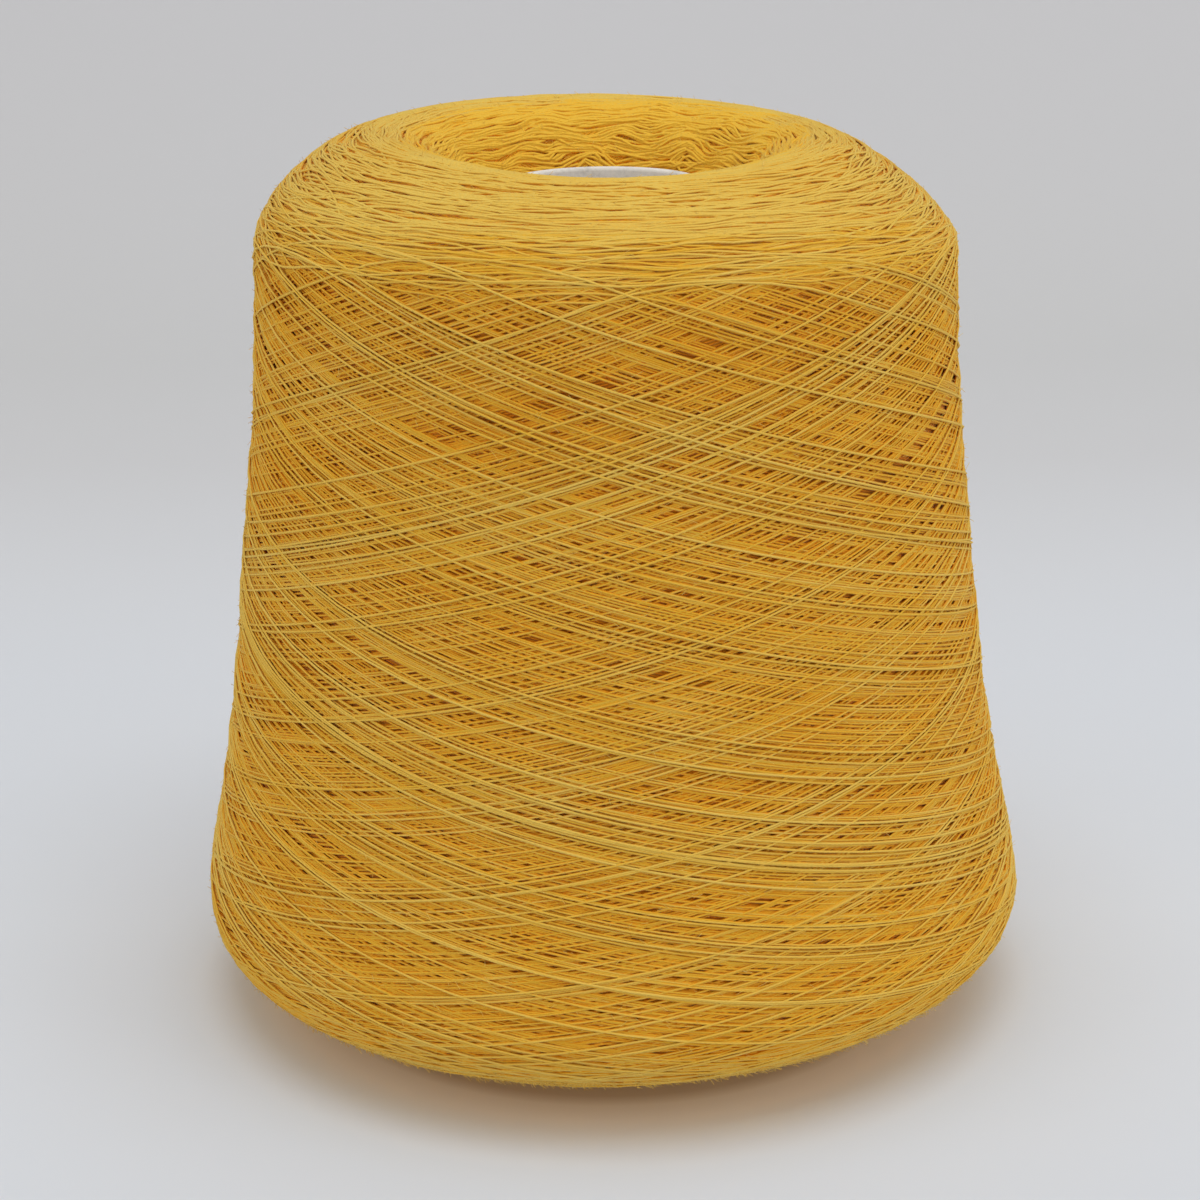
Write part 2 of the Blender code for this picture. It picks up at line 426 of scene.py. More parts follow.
def yarn_material(name, colour, pale_and_painted_light, painted_shade, bareness, twist_pitch):
    """Spun yarn on a strand: plies twisted round each other, uneven dye along it, and a soft sheen, with painted
    light and shade on the strands.

    bareness says how far the painted shade on the flanks of the topmost strands is lifted, up to as light as their
    crowns.
    """
    nodes = Nodes(name)
    uv = nodes.add("ShaderNodeUVMap", uv_map="UVMap")
    parts = nodes.add("ShaderNodeSeparateXYZ")
    nodes.link(uv.outputs["UV"], parts.inputs[0])
    along = nodes.math("DIVIDE", parts.outputs["X"], twist_pitch)
    phase = nodes.math("ADD", along, parts.outputs["Y"])
    wave = nodes.math("SINE", nodes.math("MULTIPLY", phase, 2 * TURN), 0.0)
    dye = nodes.noise(nodes.add("ShaderNodeTexCoord").outputs["Object"], 55.0, 1.0, 0.6)
    tone = nodes.attribute("tone").outputs["Fac"]
    rise = nodes.attribute("rise").outputs["Fac"]
    value = nodes.math("ADD", nodes.math("MULTIPLY", tone, 0.6), nodes.math("MULTIPLY", dye, 0.4))
    # painted light and shade by height: strands that lie higher over the form are made paler, lower ones darker;
    # tone and dye vary at random
    value = nodes.math("ADD", value, nodes.math("MULTIPLY", rise, 0.4))
    dark_tone_and_shade = tuple(0.65 * lit + 0.35 * low for lit, low in zip(colour, painted_shade))
    lit = nodes.ramp(value, [(0.2, dark_tone_and_shade), (0.52, colour), (0.85, pale_and_painted_light)])
    # painted shade: the deeper a strand lies under the others, the more its colour turns to the shade colour
    depth = nodes.math("MULTIPLY", nodes.math("ADD", rise, 1.35), 0.5)
    painted_depth_shade = nodes.ramp(depth, [(0.15, (0.15, 0.15, 0.15)), (0.5, (0.8, 0.8, 0.8)), (0.75, (1.0, 1.0, 1.0))])
    # painted shade on each strand's flanks, its crown left light; bare lifts this painted shade on the topmost
    # strands
    crown = nodes.ramp(nodes.attribute("crown").outputs["Fac"], [(0.0, (0.0, 0.0, 0.0)), (0.7, (1.0, 1.0, 1.0))])
    bare = nodes.ramp(depth, [(0.62, (0.0, 0.0, 0.0)), (0.86, (bareness, bareness, bareness))])
    crown = nodes.mix(1.0, crown, bare, "LIGHTEN")
    base = nodes.mix(nodes.mix(1.0, painted_depth_shade, crown, "MULTIPLY"), painted_shade, lit)
    groove = nodes.math("MULTIPLY", nodes.math("ADD", wave, 1.0), 0.5)
    # painted shade in the ply grooves, on top of their bump
    base = nodes.mix(nodes.math("MULTIPLY", groove, 0.13), base, painted_shade)
    nodes.link(base, nodes.shader.inputs["Base Color"])
    nodes.bump(nodes.math("MULTIPLY", groove, -0.7), 0.00005, 0.8)
    nodes.set(Roughness=0.7, Sheen_Weight=0.45, Sheen_Roughness=0.25, Specular_IOR_Level=0.12)
    nodes.shader.inputs["Sheen Tint"].default_value = (1.0, 0.84, 0.32, 1.0)
    nodes.shader.inputs["Specular Tint"].default_value = (1.0, 0.8, 0.35, 1.0)
    return nodes.material


def backing_material(name, painted_shade, painted_glow):
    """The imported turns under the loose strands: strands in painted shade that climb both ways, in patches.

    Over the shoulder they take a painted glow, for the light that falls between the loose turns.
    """
    nodes = Nodes(name)
    uv = nodes.add("ShaderNodeUVMap", uv_map="UVMap")
    parts = nodes.add("ShaderNodeSeparateXYZ")
    nodes.link(uv.outputs["UV"], parts.inputs[0])
    place = nodes.add("ShaderNodeTexCoord").outputs["Object"]
    drift = nodes.math("MULTIPLY", nodes.noise(place, 40.0, 3.0, 0.5), 6.0)
    level = nodes.math("ADD", nodes.math("MULTIPLY", parts.outputs["Y"], TURN / 0.64), drift)
    slant = nodes.math("MULTIPLY", parts.outputs["X"], 190.0)
    ways = []
    for operation in ("ADD", "SUBTRACT"):
        wave = nodes.math("SINE", nodes.math(operation, level, slant), 0.0)
        ways.append(nodes.math("MULTIPLY", nodes.math("ADD", wave, 1.0), 0.5))
    patch = nodes.ramp(nodes.noise(place, 90.0, 2.0, 0.5), [(0.47, (0.0, 0.0, 0.0)), (0.53, (1.0, 1.0, 1.0))])
    stripe = nodes.mix(patch, ways[0], ways[1])
    # painted shade on the packed turns, in darker and lighter stripes
    low = nodes.ramp(stripe, [(0.1, shaded(painted_shade, 0.7)), (0.75, shaded(painted_shade, 1.12))])
    high = nodes.ramp(stripe, [(0.1, shaded(painted_glow, 0.85)), (0.75, shaded(painted_glow, 1.1))])
    split = nodes.add("ShaderNodeSeparateXYZ")
    nodes.link(place, split.inputs[0])
    # painted glow on the packed turns above 155 mm, over the shoulder
    over = nodes.math("MULTIPLY", nodes.math("SUBTRACT", split.outputs["Z"], 0.155), 80.0)
    base = nodes.mix(nodes.ramp(over, [(0.0, (0.0, 0.0, 0.0)), (1.0, (1.0, 1.0, 1.0))]), low, high)
    nodes.link(base, nodes.shader.inputs["Base Color"])
    nodes.bump(stripe, 0.0003, 1.0)
    nodes.set(Roughness=0.9, Sheen_Weight=0.1, Specular_IOR_Level=0.2)
    return nodes.material


def paper_material(name, colour):
    """Grey paper board: soft mottling, short fibres and fine specks."""
    nodes = Nodes(name)
    place = nodes.add("ShaderNodeTexCoord").outputs["Object"]
    mottle = nodes.noise(place, 220.0, 4.0, 0.65)
    fibre = nodes.noise(place, 1400.0, 3.0, 0.7)
    speck = nodes.noise(place, 700.0, 1.0, 0.5)
    value = nodes.math("ADD", nodes.math("MULTIPLY", mottle, 0.6), nodes.math("MULTIPLY", fibre, 0.4))
    base = nodes.ramp(value, [(0.32, shaded(colour, 0.76)), (0.5, colour), (0.68, shaded(colour, 1.12))])
    dots = nodes.ramp(speck, [(0.2, (1.0, 1.0, 1.0)), (0.24, (0.0, 0.0, 0.0))])
    base = nodes.mix(dots, base, shaded(colour, 0.35))
    nodes.link(base, nodes.shader.inputs["Base Color"])
    nodes.bump(value, 0.00012, 0.8)
    nodes.set(Roughness=0.88, Specular_IOR_Level=0.3)
    return nodes.material


# painted shade: the backdrop paper is made darker and warmer further back and up, where less light reaches it
FLOOR_NEAR, FLOOR_FAR = -0.1, 1.1  # metres in front of and behind the cone between which the paper changes
FLOOR_SHADES = [  # share of that way, and the shares of the floor's colour
    (0.0, (0.95, 0.96, 0.965)),
    (0.1, (1.02, 1.03, 1.03)),
    (0.24, (0.98, 0.975, 0.965)),
    (0.32, (0.955, 0.935, 0.91)),
    (0.44, (0.9, 0.865, 0.825)),
    (0.6, (0.89, 0.855, 0.805)),
    (0.88, (0.835, 0.795, 0.76)),
]


FOOT_NEAR, FOOT_FAR = 0.06, 0.10  # metres from the cone's axis between which the painted warm light and shadow at its foot die away
FOOT_SHADES = [  # share of that way, and what the painted shadow and painted warm light make of the floor's colour
    (0.05, (0.93, 0.8, 0.55)),
    (0.15, (1.25, 1.15, 0.9)),
    (0.3, (1.25, 1.13, 0.92)),
    (0.6, (1.05, 1.0, 0.94)),
    (0.8, (0.98, 0.96, 0.94)),
    (1.0, (0.98, 0.97, 0.965)),
]


def backdrop_material(name, colour):
    """Matt backdrop paper with painted shade, a little darker and warmer as it goes back and up, and painted warm
    light and shadow at the cone's foot.
    """
    nodes = Nodes(name)
    parts = nodes.add("ShaderNodeSeparateXYZ")
    place = nodes.add("ShaderNodeTexCoord").outputs["Object"]
    nodes.link(place, parts.inputs[0])
    back = nodes.math("DIVIDE", nodes.math("SUBTRACT", parts.outputs["Y"], FLOOR_NEAR), FLOOR_FAR - FLOOR_NEAR)
    stops = [(share, tuple(np.multiply(colour, shade))) for share, shade in FLOOR_SHADES]
    away = nodes.add("ShaderNodeVectorMath", operation="LENGTH")
    nodes.link(place, away.inputs[0])
    near = nodes.math("DIVIDE", nodes.math("SUBTRACT", away.outputs["Value"], FOOT_NEAR), FOOT_FAR - FOOT_NEAR)
    base = nodes.mix(1.0, nodes.ramp(back, stops), nodes.ramp(near, FOOT_SHADES), "MULTIPLY")
    nodes.link(base, nodes.shader.inputs["Base Color"])
    nodes.set(Roughness=0.9, Specular_IOR_Level=0.2)
    return nodes.material


# ---- winding ---------------------------------------------------------------------------------------------
WIND_LOW, WIND_HIGH = math.radians(10.0), math.radians(20.5)  # winding angle low and high on the side
TURN_BACK = math.radians(0.8)  # most that a strand's angle changes in one millimetre
END_DIVE = 2.0  # the ends of the wound strands sink this much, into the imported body
RUN_STRIDE, TURN_STRIDE = 0.7548776662, 0.5698402910  # powers of the plastic number, whose steps spread evenly


def scattered(rng, count, low, high):
    """Places along the outline and turns round the cone that cover the form evenly, in no order that shows."""
    index = np.arange(count)
    run = low + (high - low) * ((0.5 + index * RUN_STRIDE) % 1.0) + rng.uniform(-0.2, 0.2, count)
    turn = TURN * ((0.5 + index * TURN_STRIDE) % 1.0) + rng.uniform(-0.1, 0.1, count)
    return zip(run, turn)


def wind_angle(run):
    """Winding angle of the crossing strands at a distance along the outline."""
    share = np.clip((run - RUN_WIDEST) / (RUN_SHOULDER - RUN_WIDEST), 0.0, 1.0)
    return WIND_LOW + (WIND_HIGH - WIND_LOW) * share


def wind_side(rng, starts, traverses, lift, rise, low, high, spread, step):
    """Paths of strands that wind up and down the side together, a little higher with each traverse.

    starts are the strands' first turns round the cone. low and high are where they turn back, spread how unevenly,
    and step the length of the strands' straight pieces.
    """
    count = len(starts)
    turn = starts.copy()
    run = np.full(count, low) + rng.uniform(0.0, spread, count)
    angle = np.zeros(count)
    direction = np.ones(count)
    level = np.full(count, lift) + rng.uniform(-0.08, 0.08, count)
    target_level = level.copy()
    passes = np.zeros(count, int)
    limit = high + rng.uniform(-spread, spread, count)
    factor = 1.0 + rng.uniform(-0.07, 0.07, count)
    trail = []
    alive = np.ones(count, bool)
    while alive.any() and len(trail) < 2000:
        trail.append((run.copy(), turn.copy(), level.copy(), alive.copy()))
        goal = direction * wind_angle(run) * factor
        angle = angle + np.clip(goal - angle, -TURN_BACK * step, TURN_BACK * step)
        run = run + np.sin(angle) * step
        radius = np.interp(run, FORM.run, FORM.radius)
        turn = turn + np.cos(angle) * step / radius
        level = level + np.clip(target_level - level, -0.05, 0.05)
        lead = np.abs(angle) / TURN_BACK * np.abs(np.sin(angle)) * 0.5
        up_done = (direction > 0) & (run + lead > limit)
        down_done = (direction < 0) & (run - lead < limit)
        done = (up_done | down_done) & alive
        passes = passes + done
        direction = np.where(done, -direction, direction)
        target_level = np.where(done, target_level + rise, target_level)
        new_high = high + rng.uniform(-spread, spread, count)
        new_low = low + rng.uniform(-spread, spread, count)
        limit = np.where(done, np.where(direction > 0, new_high, new_low), limit)
        factor = np.where(done, 1.0 + rng.uniform(-0.07, 0.07, count), factor)
        alive = alive & (passes < traverses)
    runs, turns, levels, lives = (np.array(part) for part in zip(*trail))
    paths = []
    for index in range(count):
        keep = lives[:, index]
        order = np.arange(keep.sum())
        from_end = np.minimum(order, order[::-1])
        sunk = END_DIVE * (1.0 - smooth_step(0.0, 3.0, from_end))
        paths.append(FORM.path(runs[keep, index], turns[keep, index], levels[keep, index] - sunk))
    return paths


def loops(rng, count, low, high, step, reach, wave, bow, lift, dive):
    """Paths of nearly level turns between two distances along the outline, in arcs that come up and sink again.

    reach is the shortest and longest arc in turns, wave the height of their waves, bow how far their ends lie
    along the outline from their middle, and lift the lowest and highest level.
    """
    paths = []
    for start, centre in scattered(rng, count, low, high):
        length = rng.uniform(*reach) * TURN
        radius = float(np.interp(start, FORM.run, FORM.radius))
        points = max(12, int(length * radius / step))
        local = np.linspace(-0.5, 0.5, points)
        turn = centre + local * length
        sway = wave * (
            np.sin(turn * rng.integers(2, 5) + rng.uniform(0, TURN))
            + 0.6 * np.sin(turn * rng.integers(5, 9) + rng.uniform(0, TURN))
            + 0.6 * np.sin(turn * rng.integers(11, 17) + rng.uniform(0, TURN))
            + 0.5 * np.sin(turn * rng.integers(19, 32) + rng.uniform(0, TURN))
        )
        bend = rng.uniform(*bow) * np.abs(2.0 * local) ** rng.uniform(1.3, 2.2)
        run = start + sway + bend + rng.uniform(-3.0, 3.0) * 2.0 * local
        ends = smooth_step(0.32, 0.46, np.abs(local))
        level = rng.uniform(*lift) - dive * ends
        paths.append(FORM.path(run, turn, level))
    return paths


CRIMP_WAVES = [  # waves round the crater, share of the height, and run in mm over which they turn once
    (7, 0.55, 23.0),
    (11, 0.55, -19.0),
    (15, 0.42, 14.0),
    (20, 0.26, -11.0),
]


def ripple(turn, run, phases, speed, own):
    """Waves that neighbouring turns share. They shift slowly from turn to turn, so that turns part and meet.

    own holds a turn's own shift of each wave.
    """
    parts = [
        amount * np.sin(round(waves * speed) * turn + phase + shift + TURN * run / drift)
        for (waves, amount, drift), phase, shift in zip(CRIMP_WAVES, phases, own)
    ]
    return sum(parts)


def crimped(rng, count, low, high, step, height, lift):
    """Paths of turns that go down into the crater and buckle into waves."""
    phases = rng.uniform(0.0, TURN, (3, len(CRIMP_WAVES)))
    paths = []
    for start, centre in scattered(rng, count, low, high):
        share = smooth_step(low - 2.0, high - 6.0, start)
        radius = float(np.interp(start, FORM.run, FORM.radius))
        length = rng.uniform(0.14, 0.6) * TURN
        points = max(20, int(length * radius / step))
        local = np.linspace(-0.5, 0.5, points)
        turn = centre + local * length
        along = start + 5.0 * rng.uniform(-1.0, 1.0) * local
        where = 0.75 + 0.45 * np.sin(2 * turn + phases[2][0]) + 0.3 * np.sin(3 * turn + phases[2][1])
        size = height * (0.35 + 0.65 * share) * np.clip(where, 0.35, 1.5) * rng.uniform(0.75, 1.3)
        own = rng.normal(0.0, 0.4, len(CRIMP_WAVES))
        buckle = size * ripple(turn, along, phases[0], 1.0, own)
        buckle = buckle + 0.2 * np.sin(rng.integers(18, 30) * turn + start)
        lean = 0.8 * size * ripple(turn, along, phases[1], 1.0, own) / radius
        ends = smooth_step(0.42, 0.5, np.abs(local))
        level = rng.uniform(*lift) + 0.25 * size * ripple(turn, along, phases[2], 1.2, own) - 1.1 * ends
        paths.append(FORM.path(along + buckle, turn + lean, level))
    return paths


def tones(rng, count):
    """One tone for each strand, most of them near the middle."""
    return np.clip(rng.normal(0.5, 0.14, count), 0.05, 0.95)


def bundled(rng, groups, members, gap, jitter):
    """First turns of strands that run in small parallel groups round the cone."""
    centres = (np.arange(groups) + rng.uniform(-0.3, 0.3, groups)) * TURN / groups
    offsets = []
    for centre in centres:
        size = int(rng.integers(members[0], members[1] + 1))
        offsets += [centre + index * gap + rng.uniform(-jitter, jitter) for index in range(size)]
    return np.array(offsets)


# ---- settings --------------------------------------------------------------------------------------------
def length_setting(name, description, default):
    return bpy.props.FloatProperty(name=name, description=description, default=default, min=0.0, unit="LENGTH")


def colour_setting(name, description, default):
    return bpy.props.FloatVectorProperty(
        name=name, description=description, default=default, subtype="COLOR", size=3, min=0.0, max=1.0
    )


class YarnSettings(bpy.types.PropertyGroup):
    """Sizes and colours of the yarn."""

    thickness: length_setting("Yarn thickness", "Diameter of the yarn", 0.00051)
    twist: length_setting("Twist pitch", "Length of one turn of the plies", 0.0022)
    colour: colour_setting("Colour", "Colour of the lit yarn", (0.785, 0.46, 0.043))
    # pale and painted light: lighter strands, and the painted light of the strands that lie highest over the form
    pale_and_painted_light: colour_setting("Pale colour", "Colour of the topmost yarn", (0.80, 0.56, 0.115))
    loose: colour_setting("Loose colour", "Colour of the loose turns on the nose", (0.765, 0.503, 0.09))
    # painted shade: a darker, redder copy of the yarn colour, put in the hollows and on strand flanks where shade
    # falls
    painted_shade: colour_setting("Deep colour", "Colour of the yarn in the hollows", (0.80, 0.27, 0.003))
    crater: colour_setting("Crater colour", "Colour of the turns round the core", (0.82, 0.495, 0.053))
    # painted glow: warm orange put between the loose turns for the light that bounces there, and used as their
    # painted shade
    painted_glow: colour_setting("Glow colour", "Colour between the loose turns of the nose", (0.9, 0.41, 0.01))
    fuzz: colour_setting("Fuzz colour", "Colour of the loose fibres", (0.82, 0.56, 0.13))


class CoreSettings(bpy.types.PropertyGroup):
    """Sizes and colours of the paper core."""

    colour: colour_setting("Paper", "Colour of the paper board", (0.78, 0.74, 0.68))


class StageSettings(bpy.types.PropertyGroup):
    """The studio round the cone."""

    floor: colour_setting("Floor", "Colour of the floor and the backdrop", (0.752, 0.788, 0.838))


# ---- operators -------------------------------------------------------------------------------------------
def strand_look(context, look="strand"):
    """The yarn's material, made once for the tight strands, the loose ones of the nose and those of the crater."""
    yarn = context.scene.cone_yarn
    # each look: its own colour, its pale tone with painted light on the topmost strands, and its painted shade
    colours = {
        "strand": (yarn.colour, yarn.pale_and_painted_light, yarn.painted_shade),
        "loose": (yarn.loose, yarn.pale_and_painted_light, yarn.painted_glow),
        "crater": (yarn.crater, shaded(yarn.crater, 1.04), shaded(yarn.painted_glow, 1.1)),
        "fuzz": (yarn.fuzz, shaded(yarn.fuzz, 1.1), yarn.fuzz),
    }
    colour, pale_and_painted_light, painted_shade = (tuple(value) for value in colours[look])
    name = f"yarn_{look}"
    made = bpy.data.materials.get(name)
    return made or yarn_material(name, colour, pale_and_painted_light, painted_shade, BARENESS[look], yarn.twist / MM)


SWELL = {"strand": 1.0, "loose": 1.12, "crater": 1.45}  # loose turns are this much thicker than tight ones
# how far each look's painted flank shade is lifted on its topmost strands
BARENESS = {"strand": 0.95, "loose": 0.9, "crater": 0.9, "fuzz": 1.0}


def strand_piece(context, name, paths, rng, look="strand"):
    """A piece of strands in the yarn's material."""
    radius = context.scene.cone_yarn.thickness / MM / 2 * SWELL[look]
    mesh = strands_mesh(name, paths, radius, tones(rng, len(paths)))
    return link(name, mesh, strand_look(context, look))


class YARN_OT_backing(bpy.types.Operator):
    """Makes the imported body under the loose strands, which stands for the solid winding"""

    bl_idname = "yarn_cone.backing"
    bl_label = "Packed turns"

    DEPTH = 0.85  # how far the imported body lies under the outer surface
    NOSE_DEPTH = 0.17
    SEGMENTS = 120
    EVERY = 6

    def execute(self, context):
        nose = smooth_step(RUN_SHOULDER, RUN_SHOULDER + 12.0, FORM.run)
        inset = self.DEPTH + (self.NOSE_DEPTH - self.DEPTH) * nose
        radius = FORM.radius - inset * FORM.out_radius
        height = FORM.height - inset * FORM.out_height
        outline = list(zip(radius[:: self.EVERY], height[:: self.EVERY]))
        bore_top = (core_radius(159.0) + 0.36, 159.0)
        bore_base = (core_radius(12.5) + 0.36, 12.5)
        outline = [bore_base, *outline[1:-1], bore_top]
        mesh = lathe("packed_turns", outline, self.SEGMENTS, closed=True)
        for point in mesh.vertices:
            x, y, z = point.co / MM
            turn = math.atan2(y, x)
            new_radius, new_height = uneven(turn, math.hypot(x, y), z)
            point.co = Vector((new_radius * math.cos(turn), new_radius * math.sin(turn), new_height)) * MM
        self.map_turns(mesh)
        yarn = context.scene.cone_yarn
        surface = backing_material("yarn_packed", tuple(yarn.painted_shade), tuple(yarn.painted_glow))
        piece = link("packed_turns", mesh, surface)
        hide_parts("yarn")
        return {"FINISHED"}

    @staticmethod
    def map_turns(mesh):
        """A map whose height is the distance along the outline, in millimetres."""
        layer = mesh.uv_layers.new(name="UVMap")
        form = np.stack([FORM.radius, FORM.height], axis=1)
        places = []
        for point in mesh.vertices:
            x, y, z = point.co / MM
            near = int(np.argmin(np.hypot(form[:, 0] - math.hypot(x, y), form[:, 1] - z)))
            places.append((math.atan2(y, x), FORM.run[near]))
        for face in mesh.polygons:
            across = max(places[index][0] for index in face.vertices) > 2.5
            for loop, index in zip(face.loop_indices, face.vertices):
                turn, run = places[index]
                layer.data[loop].uv = (turn + TURN if across and turn < -2.5 else turn, run)


class YARN_OT_side(bpy.types.Operator):
    """Winds the crossing strands of the side, from the deep layers to the few on top"""

    bl_idname = "yarn_cone.side"
    bl_label = "Side strands"

    LAYERS = [  # name, groups, members, gap in a group, traverses, first level, rise, step, seed
        ("side_deep", 11, (3, 7), 0.033, 4, -0.75, 0.08, 10.0, 11),
        ("side_inner", 16, (3, 7), 0.033, 4, -0.52, 0.10, 10.0, 12),
        ("side_outer", 24, (1, 6), 0.034, 4, -0.28, 0.10, 9.5, 14),
        ("side_top", 12, (1, 3), 0.05, 4, 0.08, 0.11, 8.5, 13),
    ]
    LOW = RUN_WIDEST - 13.0
    HIGH = RUN_SHOULDER + 7.0
    SPREAD = 4.5

    def execute(self, context):
        for name, groups, members, gap, traverses, level, rise, step, seed in self.LAYERS:
            rng = np.random.default_rng(seed)
            starts = bundled(rng, groups, members, gap, 0.006)
            paths = wind_side(rng, starts, traverses, level, rise, self.LOW, self.HIGH, self.SPREAD, step)
            strand_piece(context, name, paths, rng)
        return {"FINISHED"}


class YARN_OT_nose(bpy.types.Operator):
    """Lays the turns over the shoulder and the domed nose"""

    bl_idname = "yarn_cone.nose"
    bl_label = "Nose turns"

    ZONES = [  # name, number of turns, from and to along the outline, look
        ("shoulder_turns", 230, RUN_SHOULDER + 4.0, RUN_SHOULDER + 15.0, "strand"),
        ("nose_turns", 570, RUN_SHOULDER + 13.0, RUN_CREST + 7.0, "loose"),
    ]

    def execute(self, context):
        rng = np.random.default_rng(21)
        for name, count, low, high, look in self.ZONES:
            paths = loops(rng, count, low, high, 4.0, (0.1, 0.4), 0.42, (-7.0, 1.0), (-0.26, 0.34), 1.0)
            strand_piece(context, name, paths, rng, look)
        return {"FINISHED"}


class YARN_OT_crater(bpy.types.Operator):
    """Lays the crimped turns that go down to the core"""

    bl_idname = "yarn_cone.crater"
    bl_label = "Crater turns"

    RIM_RADIUS = 40.5  # turns further out than this belong to the pale rim

    def on_rim(self, path):
        return np.hypot(path[:, 0], path[:, 1]).mean() > self.RIM_RADIUS * MM

    def execute(self, context):
        rng = np.random.default_rng(31)
        paths = crimped(rng, 430, RUN_CREST - 2.0, RUN_CORE + 1.0, 1.9, 1.4, (-0.16, 0.26))
        strand_piece(context, "crater_turns", [path for path in paths if not self.on_rim(path)], rng, "crater")
        strand_piece(context, "rim_turns", [path for path in paths if self.on_rim(path)], rng, "loose")
        return {"FINISHED"}


class YARN_OT_base(bpy.types.Operator):
    """Lays the turns of the base lip and the base face"""

    bl_idname = "yarn_cone.base"
    bl_label = "Base turns"

    def execute(self, context):
        rng = np.random.default_rng(41)
        lip = loops(
            rng, 150, RUN_LIP_FOOT - 4.0, RUN_WIDEST - 5.0, 6.0, (0.25, 0.7), 0.2, (0.0, 2.5), (-0.4, 0.15), 2.4
        )
        strand_piece(context, "lip_turns", lip, rng, "loose")
        face = loops(rng, 100, 3.0, RUN_LIP_FOOT, 6.0, (0.35, 0.9), 0.35, (-1.5, 1.5), (-0.6, 0.1), 1.4)
        strand_piece(context, "base_turns", face, rng)
        return {"FINISHED"}


class YARN_OT_core(bpy.types.Operator):
    """Makes the paper core, with its rounded tip"""

    bl_idname = "yarn_cone.core"
    bl_label = "Paper core"

    EDGE = 0.6
    TIP_EDGE = 0.9
    SEGMENTS = 160

    def execute(self, context):
        edge, tip, wall, top = self.EDGE, self.TIP_EDGE, CORE_WALL, CORE_LENGTH
        outline = [
            (core_radius(0.0) - edge, 0.0),
            (core_radius(0.0) - 0.3 * edge, 0.15 * edge),
            (core_radius(0.0), edge),
            (core_radius(top * 0.5), top * 0.5),
            (core_radius(top) + 0.05, top - tip),
            (core_radius(top) - 0.28 * tip, top - 0.3 * tip),
            (core_radius(top) - tip, top - 0.02),
            (core_radius(top) - wall + 0.5, top - 0.05),
            (core_radius(top) - wall + 0.1, top - 0.3),
            (core_radius(top) - wall, top - 0.8),
            (core_radius(top * 0.5) - wall, top * 0.5),
            (core_radius(0.0) - wall, 0.5),
            (core_radius(0.0) - wall + 0.4, 0.0),
        ]
        mesh = lathe("paper_core", outline, self.SEGMENTS, closed=True)
        piece = link("paper_core", mesh, paper_material("paper", tuple(context.scene.cone_core.colour)))
        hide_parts("core")
        return {"FINISHED"}


class YARN_OT_fuzz(bpy.types.Operator):
    """Adds the short loose fibres that stand off the yarn"""

    bl_idname = "yarn_cone.fuzz"
    bl_label = "Fuzz"

    COUNT = 10000
    LENGTH = (0.5, 1.9)
    THICKNESS = 0.042

    def execute(self, context):
        rng = np.random.default_rng(51)
        paths = []
        for index in range(self.COUNT):
            if index % 2:
                low, high = RUN_LIP_FOOT - 1.0, RUN_LIP_FOOT + 11.0
            else:
                low, high = RUN_WIDEST - 8.0, RUN_CORE - 8.0
            run = rng.uniform(low, high)
            turn = rng.uniform(0.0, TURN)
            radius = float(np.interp(run, FORM.run, FORM.radius))
            length = rng.uniform(*self.LENGTH)
            lean = rng.uniform(-1.0, 1.0)
            share = np.linspace(0.0, 1.0, 2)
            side = length * share * rng.uniform(0.2, 1.2)
            paths.append(
                FORM.path(
                    run + lean * length * share * 0.8,
                    turn + side / radius,
                    0.1 + length * rng.uniform(0.2, 0.75) * share,
                )
            )
        mesh = strands_mesh("fuzz", paths, self.THICKNESS, tones(rng, len(paths)))
        link("fuzz", mesh, strand_look(context, "fuzz"))
        return {"FINISHED"}


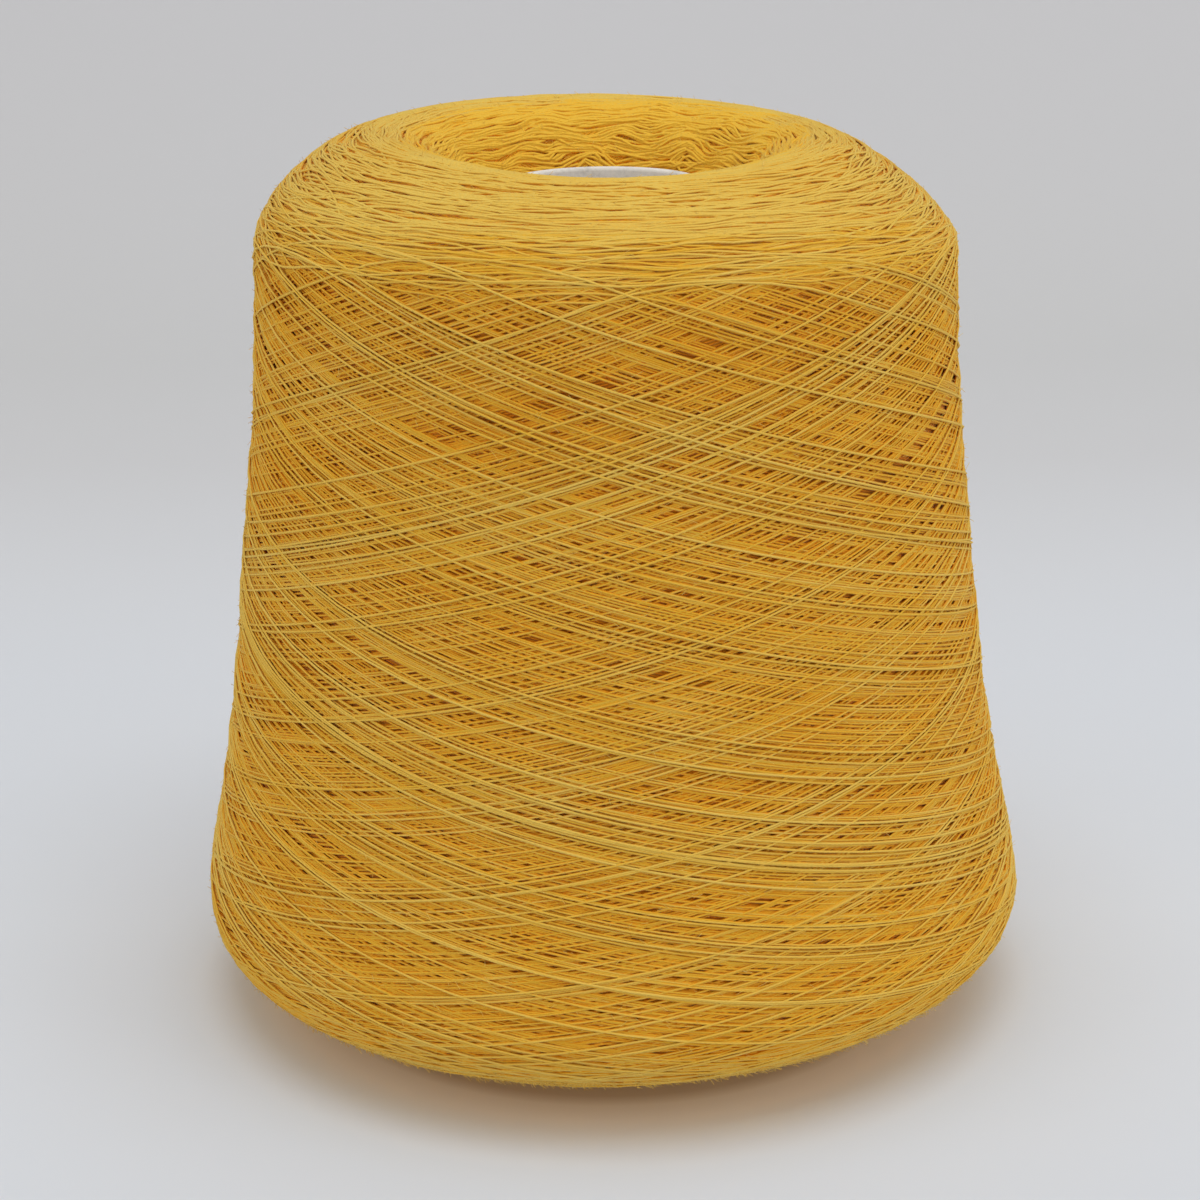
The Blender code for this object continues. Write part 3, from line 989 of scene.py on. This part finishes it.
class YARN_OT_stage(bpy.types.Operator):
    """Sets up the floor, the backdrop, the lights and the camera"""

    bl_idname = "yarn_cone.stage"
    bl_label = "Studio"

    def execute(self, context):
        self.sweep(context)
        self.lights(context)
        self.camera(context)
        context.scene.view_settings.view_transform = "Standard"
        return {"FINISHED"}

    @staticmethod
    def sweep(context):
        """A floor that curves up into the backdrop."""
        width, front, back, bend, rise = 16.0, -8.0, 1.1, 0.5, 2.2
        outline = [(front, 0.0), (back - bend, 0.0)]
        outline += [
            (back - bend + bend * math.sin(step), bend - bend * math.cos(step))
            for step in np.linspace(0.1, math.pi / 2, 14)
        ]
        outline.append((back, rise))
        shape = bmesh.new()
        points = [shape.verts.new((-width / 2, y, z)) for y, z in outline]
        edges = [shape.edges.new(pair) for pair in zip(points, points[1:])]
        made = bmesh.ops.extrude_edge_only(shape, edges=edges)
        moved = [item for item in made["geom"] if isinstance(item, bmesh.types.BMVert)]
        bmesh.ops.translate(shape, verts=moved, vec=(width, 0, 0))
        bmesh.ops.recalc_face_normals(shape, faces=shape.faces)
        if shape.faces[0].normal.z < 0:
            bmesh.ops.reverse_faces(shape, faces=shape.faces)
        mesh = bpy.data.meshes.new("floor")
        shape.to_mesh(mesh)
        shape.free()
        smooth_faces(mesh)
        floor = bpy.data.objects.new("floor", mesh)
        context.scene.collection.objects.link(floor)
        mesh.materials.append(backdrop_material("floor", tuple(context.scene.cone_stage.floor)))

    LIGHTS = [  # name, place in metres, size, power in watts, colour
        ("overhead", (0.15, -0.3, 1.8), 1.4, 11.6, (1.0, 1.0, 1.0)),
        ("front", (0.2, -1.6, 0.5), 1.2, 1.0, (1.0, 1.0, 1.0)),
        ("left", (-1.5, -0.6, 0.5), 1.2, 4.2, (1.0, 1.0, 1.0)),
        ("right", (1.5, -0.6, 0.5), 1.2, 5.6, (1.0, 1.0, 1.0)),
    ]
    AIM = Vector((0.0, 0.0, 0.09))

    def lights(self, context):
        for name, place, size, power, colour in self.LIGHTS:
            lamp = bpy.data.lights.new(name, "AREA")
            lamp.size = size
            lamp.energy = power
            lamp.color = colour
            holder = bpy.data.objects.new(name, lamp)
            holder.location = place
            holder.rotation_euler = (self.AIM - Vector(place)).to_track_quat("-Z", "Y").to_euler()
            context.scene.collection.objects.link(holder)
        self.bounce(context)
        world = bpy.data.worlds.new("studio")
        world.use_nodes = True
        world.node_tree.nodes["Background"].inputs["Color"].default_value = (0.98, 0.99, 1.0, 1.0)
        world.node_tree.nodes["Background"].inputs["Strength"].default_value = 0.58
        context.scene.world = world

    @staticmethod
    def bounce(context):
        """The warm light that the yarn's underside throws on the floor below it."""
        lamp = bpy.data.lights.new("bounce", "AREA")
        lamp.shape = "DISK"
        lamp.size = 2 * 76.0 * MM
        lamp.energy = 0.004
        lamp.color = (1.0, 0.50, 0.07)
        holder = bpy.data.objects.new("bounce", lamp)
        holder.location = (0.0, 0.0, 6.0 * MM)
        context.scene.collection.objects.link(holder)

    @staticmethod
    def camera(context):
        lens = bpy.data.cameras.new("camera")
        lens.lens = LENS
        lens.sensor_width = 36.0
        lens.clip_start = 0.01
        camera = bpy.data.objects.new("camera", lens)
        level = Matrix.Rotation(math.radians(90.0 - CAMERA_PITCH), 4, "X")
        roll = Matrix.Rotation(math.radians(CAMERA_ROLL), 4, "Z")
        camera.matrix_world = Matrix.Translation(Vector(CAMERA_PLACE) * MM) @ level @ roll
        context.scene.collection.objects.link(camera)
        context.scene.camera = camera


class YARN_PT_panel(bpy.types.Panel):
    """Lists the steps that build the cone"""

    bl_idname = "YARN_PT_panel"
    bl_label = "Yarn cone"
    bl_space_type = "VIEW_3D"
    bl_region_type = "UI"
    bl_category = "Yarn cone"

    def draw(self, context):
        scene = context.scene
        for settings, names in (
            (scene.cone_yarn, ("thickness", "twist", "colour", "pale_and_painted_light", "loose", "crater", "painted_shade", "painted_glow", "fuzz")),
            (scene.cone_core, ("colour",)),
            (scene.cone_stage, ("floor",)),
        ):
            for name in names:
                self.layout.prop(settings, name)
        for step in STEPS:
            self.layout.operator(step.bl_idname)


STEPS = (
    YARN_OT_backing,
    YARN_OT_side,
    YARN_OT_nose,
    YARN_OT_crater,
    YARN_OT_base,
    YARN_OT_core,
    YARN_OT_fuzz,
    YARN_OT_stage,
)
CLASSES = (YarnSettings, CoreSettings, StageSettings, *STEPS, YARN_PT_panel)


def register():
    for each in CLASSES:
        bpy.utils.register_class(each)
    bpy.types.Scene.cone_yarn = bpy.props.PointerProperty(type=YarnSettings)
    bpy.types.Scene.cone_core = bpy.props.PointerProperty(type=CoreSettings)
    bpy.types.Scene.cone_stage = bpy.props.PointerProperty(type=StageSettings)


def unregister():
    del bpy.types.Scene.cone_stage
    del bpy.types.Scene.cone_core
    del bpy.types.Scene.cone_yarn
    for each in reversed(CLASSES):
        bpy.utils.unregister_class(each)


def main():
    register()
    bpy.ops.yarn_cone.backing()
    bpy.ops.yarn_cone.side()
    bpy.ops.yarn_cone.nose()
    bpy.ops.yarn_cone.crater()
    bpy.ops.yarn_cone.base()
    bpy.ops.yarn_cone.core()
    bpy.ops.yarn_cone.fuzz()
    bpy.ops.yarn_cone.stage()


if __name__ == "__main__":
    main()
